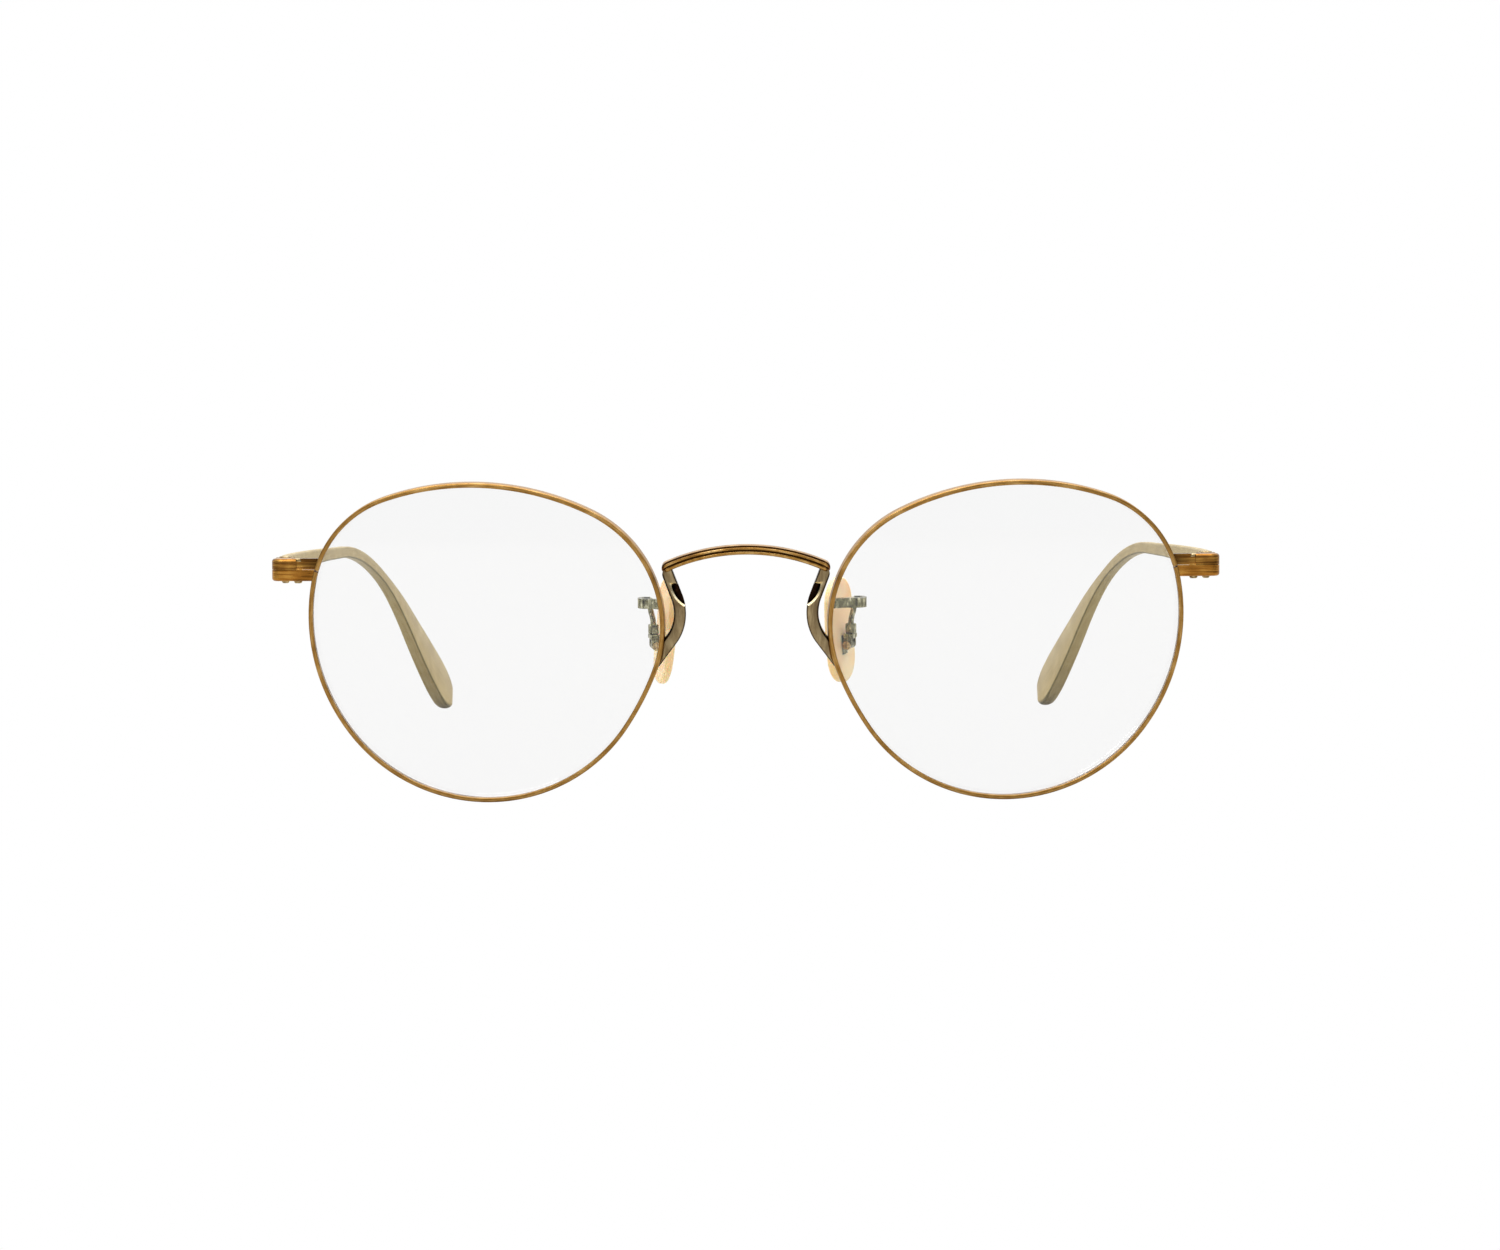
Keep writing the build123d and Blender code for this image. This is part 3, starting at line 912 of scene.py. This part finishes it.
def temple_line(s):
    """Side view of the arm's middle, s along it: place and direction, back and up."""
    if s < bend_start:
        return Vector((temple_start_y + s, 0)), Vector((1, 0))
    if s < bend_start + bend_length:
        a = (s - bend_start) / bend_radius
        middle = Vector((bend_y + bend_radius * sin(a), -bend_radius * (1 - cos(a))))
        return middle, Vector((cos(a), -sin(a)))
    return bend_out + down * (s - bend_start - bend_length), down


def plan_place(y, offset):
    """Plan of the arm: how far out the surface offset from its middle stands, at y."""
    near = Vector((temple_start_y, temple_offset_x + offset[0]))
    far = Vector((tip_y + bow_past_tip, tip_x + offset[2]))
    half_span = (far.x - near.x) / 2
    middle = (near + far) / 2
    rise = temple_bow + offset[1] - (offset[0] + offset[2]) / 2
    radius = (half_span**2 + rise**2) / (2 * rise)
    t = y - middle.x
    slope = (far.y - near.y) / (2 * half_span)
    return middle.y + slope * t + sqrt(radius**2 - t**2) - (radius - rise)


def half_height(s):
    """Half the arm's height: drawn down to the ear, then spread smoothly into the paddle."""
    spread_start = bend_start + bend_radius * spread_angle
    widest = temple_length - paddle_round_length
    if s < bend_start:
        return front_half_height + (ear_half_height - front_half_height) * s / bend_start
    if s < widest:
        t = smooth_step(s, spread_start, widest)
        return ear_half_height + (paddle_half_height - ear_half_height) * t
    ending = min((s - widest) / paddle_round_length, paddle_end_limit)
    return paddle_half_height * sqrt(1 - ending**2)


halves = (temple_half_thickness, temple_half_thickness, paddle_half_thickness)
temple_stations = [temple_length * i / temple_steps for i in range(temple_steps)]
for i in range(tip_steps // 2, tip_steps + 1):
    past = 1 - sin(i * pi / (2 * tip_steps))
    temple_stations.append(temple_length - paddle_round_length * past)
temple_rings = []
for s in sorted(set(temple_stations)):
    middle, heading = temple_line(s)
    across = Vector((-heading.y, heading.x))
    tall = half_height(s)
    left = temple_length - s
    narrow = sqrt(1 - (1 - min(left / tip_round, 1)) ** 2) * (1 - tip_narrowest) + tip_narrowest
    outer_face = plan_place(middle.x, halves)
    inner_face = plan_place(middle.x, [-h for h in halves])
    thin = (outer_face - inner_face) / 2 * narrow
    corner = temple_corner + tip_corner_growth * max(1 - left / tip_corner_length, 0)
    corner = min(corner, fullest_corner * tall, fullest_corner * thin)
    box = [(-thin, -tall), (thin, -tall), (thin, tall), (-thin, tall)]
    swell = inner_bulge * smooth_step(tall, ear_half_height, paddle_half_height) * narrow
    ring = []
    for x, z in rounded(box, [corner] * 4, steps=5):
        place = middle + across * z
        inward = max(-x / thin, 0) * swell * max(1 - (z / tall) ** 2, 0)
        ring.append(Vector((plan_place(middle.x, (0, 0, 0)) + x - inward, place.x, place.y)))
    temple_rings.append(ring)
# Painted shade on the underside: the two lower corners are painted darker, in a dark olive, most at
# the inner one.
inner_lower_shade = [0.0, 0.45, 0.95, 0.95, 0.55, 0.42]
outer_lower_shade = [0.42, 0.42, 0.35, 0.3, 0.15, 0.0]
upper_corner = [0.0] * len(inner_lower_shade)
temple_painted_shade = inner_lower_shade + outer_lower_shade + upper_corner * 2
# Streaks 6 mm long and 0.25 mm wide, drawn coarse enough to be seen.
temple_plate = plated_metal(
    "satin_pale_gold_plate",
    ("#A58E52", "#BCA56C", "#D3C18E"),
    (6.0, 0.25, 1.0),
    3.0,
    (0.32, 0.42),
    source="wire",
    # The dark olive below is the colour of that painted shade.
    patina_and_painted_shade="#544A08",
)
lean = Matrix.Rotation(radians(-temple_lean), 4, "X")
leaning = Matrix.Translation(hinge_in_drawing) @ lean
for side, flip in sides:
    name = "temple_arm_" + side
    mesh = loft(name, temple_rings, temple_plate, temple_painted_shade)
    arm = "temple_" + side
    finish_piece(name, mesh, flip @ leaning, arm, arm)

# ---- Nose pad mounts ----
# A flat strap brazed behind each rim, turned back on itself and drawn down into a round stem,
# which ends in a little box and a slotted screw. Polished, in a greenish pale gold.
mount_plate = plated_metal(
    "polished_green_gold_plate",
    ("#1C1C10", "#747150", "#D6D2B2"),
    (0.3, 0.3, 1.4),
    0.7,
    (0.1, 0.2),
    relief=0.15,
)
give_finish(mount_plate, "pad_arm", "pad_box", "pad_insert")
give_finish(screw_plate, "pad_screw")

# ---- Nose pads ----
# Moulded from soft cream vinyl round a metal lug. Light soaks in a little way, so the thin edges
# glow paler and warmer than the middle, and the skin is a dull satin.
flow_mark = 4.0
dimple = 0.25
dimple_depth = 0.02
light_reach = 1.5
pad_vinyl, tree = new_material("moulded_cream_vinyl")
start = add(tree, "ShaderNodeTexCoord").outputs["Object"]
flows = {"Vector": start, "Scale": 1 / (flow_mark * millimetre), "Detail": 3.0}
flow = add(tree, "ShaderNodeTexNoise", flows)
cream = add(tree, "ShaderNodeValToRGB", {"Fac": flow.outputs["Fac"]})
cream.color_ramp.elements[0].position = 0.35
cream.color_ramp.elements[0].color = linear("#EFCC94")
cream.color_ramp.elements[1].position = 0.65
cream.color_ramp.elements[1].color = linear("#F9E2B8")
skin = add(tree, "ShaderNodeTexNoise", {"Vector": start, "Scale": 1 / (dimple * millimetre)})
dimples = add(
    tree,
    "ShaderNodeBump",
    {"Height": skin.outputs["Fac"], "Strength": 0.15, "Distance": dimple_depth * millimetre},
)
vinyl = add(
    tree,
    "ShaderNodeBsdfPrincipled",
    {
        "Base Color": cream.outputs["Color"],
        "Roughness": 0.38,
        "IOR": 1.5,
        "Subsurface Weight": 0.7,
        "Subsurface Radius": (1.0, 0.65, 0.4),
        "Subsurface Scale": light_reach * millimetre,
        "Normal": dimples.outputs["Normal"],
    },
)
add(tree, "ShaderNodeOutputMaterial", {"Surface": vinyl.outputs["BSDF"]})
give_finish(pad_vinyl, "nose_pad")
